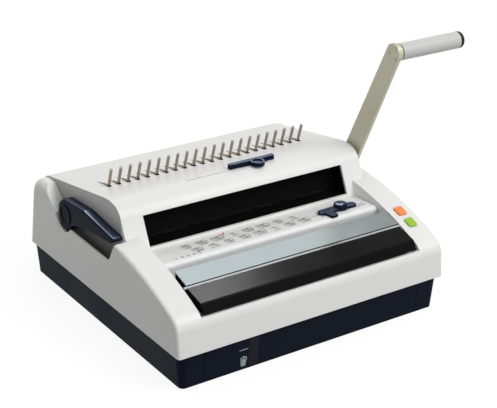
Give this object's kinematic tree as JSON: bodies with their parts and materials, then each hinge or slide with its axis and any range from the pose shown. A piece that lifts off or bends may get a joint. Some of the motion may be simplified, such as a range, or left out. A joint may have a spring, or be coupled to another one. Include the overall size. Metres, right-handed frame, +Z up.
{
  "type": "comb binding machine",
  "caption": "Electric desk machine that punches a row of holes in paper and opens a plastic comb spine on hooks with a long hand lever, over a dark tray with a chip drawer.",
  "frame": {"origin": "centre of the tray's footprint at the plane of the rubber feet", "axes": "+X to the operator's right, +Y to the back, +Z up"},
  "size_m": [0.511, 0.396, 0.3389],
  "materials": {
    "white_shell": "fine satin",
    "white_table": "fine satin",
    "navy_shell": "fine satin",
    "navy_part": "satin",
    "black_gloss": "gloss",
    "black_inner": "matt",
    "clamp_steel": "brushed",
    "bright_trim": "polished",
    "arm_steel": "satin",
    "grip_white": "satin",
    "cap_black": "satin",
    "pin_steel": "nickel plated",
    "hook_steel": "plated",
    "machine_steel": "machined",
    "orange_key": "satin",
    "green_key": "satin",
    "motor_can": "satin",
    "board_green": "lacquered",
    "black_part": "matt",
    "bearing_plastic": "matt",
    "foot_rubber": "matt"
  },
  "bodies": {
    "case": {"base_tray": "navy_shell", "top_cover": "white_shell", "throat_liner": "black_inner", "paper_table": "white_table", "deck_plate": "clamp_steel", "deck_trim": "bright_trim", "press_switch": "black_part", "button_board": "board_green", "button_switches": "black_part", "handle_bush": "bearing_plastic", "lever_bush": "bearing_plastic", "drawer_rail_left": "bearing_plastic", "drawer_rail_right": "bearing_plastic", "comb_rack": "machine_steel", "comb_pins": "pin_steel", "hook_guide_left": "bearing_plastic", "hook_guide_right": "bearing_plastic", "die_plate": "machine_steel", "punch_guide": "machine_steel", "side_plate_left": "machine_steel", "side_plate_right": "machine_steel", "motor": "motor_can", "power_board": "board_green", "power_parts": "black_part", "power_inlet": "black_part", "switch_frame": "black_part", "foot_front_left": "foot_rubber", "foot_front_right": "foot_rubber", "foot_back_left": "foot_rubber", "foot_back_right": "foot_rubber", "foot_middle": "foot_rubber", "case_screws": "machine_steel"},
    "handle": {"handle_arm": "arm_steel", "handle_shaft": "machine_steel", "handle_crank": "machine_steel", "grip_spindle": "arm_steel", "arm_rivets": "arm_steel"},
    "grip": {"handle_grip": "grip_white", "grip_end_cap": "cap_black"},
    "hook_carriage": {"hook_bar": "hook_steel"},
    "lever": {"size_lever": "navy_part", "lever_disc": "black_part", "lever_shaft": "machine_steel", "lever_cam": "machine_steel"},
    "press": {"press_bar": "black_gloss", "press_bar_pin": "machine_steel"},
    "punch_key": {"punch_button": "green_key"},
    "reverse_key": {"reverse_button": "orange_key"},
    "size_slider": {"top_slider": "navy_part"},
    "margin_guide": {"edge_guide": "navy_part"},
    "drawer": {"chip_drawer": "navy_shell"},
    "punch": {"punch_pins": "machine_steel", "pressure_bar": "machine_steel"},
    "cams": {"camshaft": "machine_steel", "cam_left": "machine_steel", "cam_right": "machine_steel", "drive_gear": "bearing_plastic"},
    "pinion": {"motor_pinion": "machine_steel"},
    "mains_switch": {"power_switch": "black_part"}
  },
  "joints": [
    {"name": "handle_swing", "type": "hinge", "parent": "case", "child": "handle", "pos_m": [0.1937, 0.024, 0.092], "axis": [-1, 0, 0], "range_deg": [0, 50]},
    {"name": "grip_spin", "type": "hinge", "parent": "handle", "child": "grip", "pos_m": [0.25, -0.08709, 0.32596], "axis": [1, 0, 0], "continuous": true},
    {"name": "hook_slide", "type": "slide", "parent": "case", "child": "hook_carriage", "axis": [0, 0.9866, -0.1633], "range_m": [0, 0.014]},
    {"name": "lever_lift", "type": "hinge", "parent": "case", "child": "lever", "pos_m": [-0.194, 0.089, 0.125], "axis": [-1, 0, 0], "range_deg": [0, 30]},
    {"name": "press_down", "type": "hinge", "parent": "case", "child": "press", "pos_m": [0, -0.157, 0.097], "axis": [1, 0, 0], "range_deg": [0, 2.5], "stiffness_Nm_per_rad": 1, "springref_deg": -5.73},
    {"name": "punch_key_press", "type": "slide", "parent": "case", "child": "punch_key", "axis": [0, 0.3567, -0.9342], "range_m": [0, 0.0016], "stiffness_N_per_m": 300, "springref_m": -0.002},
    {"name": "reverse_key_press", "type": "slide", "parent": "case", "child": "reverse_key", "axis": [0, 0.3123, -0.95], "range_m": [0, 0.0016], "stiffness_N_per_m": 300, "springref_m": -0.002},
    {"name": "size_slide", "type": "slide", "parent": "case", "child": "size_slider", "axis": [-1, 0, 0], "range_m": [0, 0.06]},
    {"name": "margin_slide", "type": "slide", "parent": "case", "child": "margin_guide", "axis": [1, 0, 0], "range_m": [-0.0376, 0.0212]},
    {"name": "drawer_slide", "type": "slide", "parent": "case", "child": "drawer", "axis": [0, -1, 0], "range_m": [0, 0.13]},
    {"name": "punch_stroke", "type": "slide", "parent": "case", "child": "punch", "axis": [0, 0, -1], "range_m": [0, 0.008], "stiffness_N_per_m": 2000, "springref_m": -0.004},
    {"name": "cam_spin", "type": "hinge", "parent": "case", "child": "cams", "pos_m": [0, 0.016, 0.138], "axis": [1, 0, 0], "continuous": true},
    {"name": "pinion_spin", "type": "hinge", "parent": "case", "child": "pinion", "pos_m": [-0.1765, 0.0415, 0.1254], "axis": [1, 0, 0], "continuous": true},
    {"name": "mains_rock", "type": "hinge", "parent": "case", "child": "mains_switch", "pos_m": [0.076, 0.19, 0.026], "axis": [-1, 0, 0], "range_deg": [0, 24]}
  ],
  "couplings": [
    {"joint": "hook_slide", "follows": "handle_swing", "m_per_rad": 0.01604},
    {"joint": "pinion_spin", "follows": "cam_spin", "ratio": -3.7273}
  ]
}
